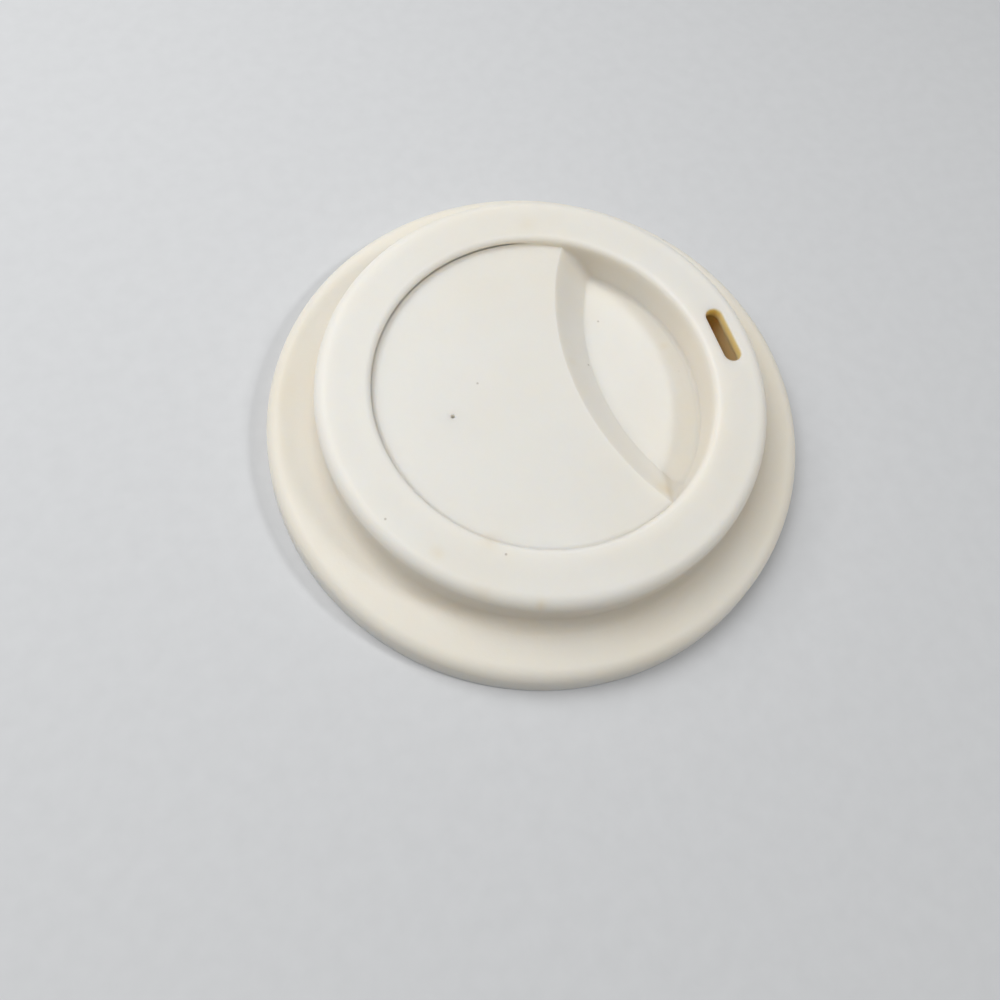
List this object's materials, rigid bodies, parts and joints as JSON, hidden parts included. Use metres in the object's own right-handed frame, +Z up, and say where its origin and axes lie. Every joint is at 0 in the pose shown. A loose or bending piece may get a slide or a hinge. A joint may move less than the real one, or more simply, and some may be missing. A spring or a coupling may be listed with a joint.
{
  "type": "travel mug lid",
  "caption": "One-piece silicone drink-through lid for a travel mug, with a raised platform, a lens-shaped thumb pocket, a drinking slot and an air vent",
  "frame": {"origin": "centre of the ring that the lid rests on", "axes": "+Z is up through the middle of the lid, +X points to the drinking slot"},
  "size_m": [0.0962, 0.0962, 0.0166],
  "materials": {
    "silicone": "matte moulded, cream"
  },
  "bodies": {
    "root": {"lid": "silicone"}
  },
  "joints": []
}
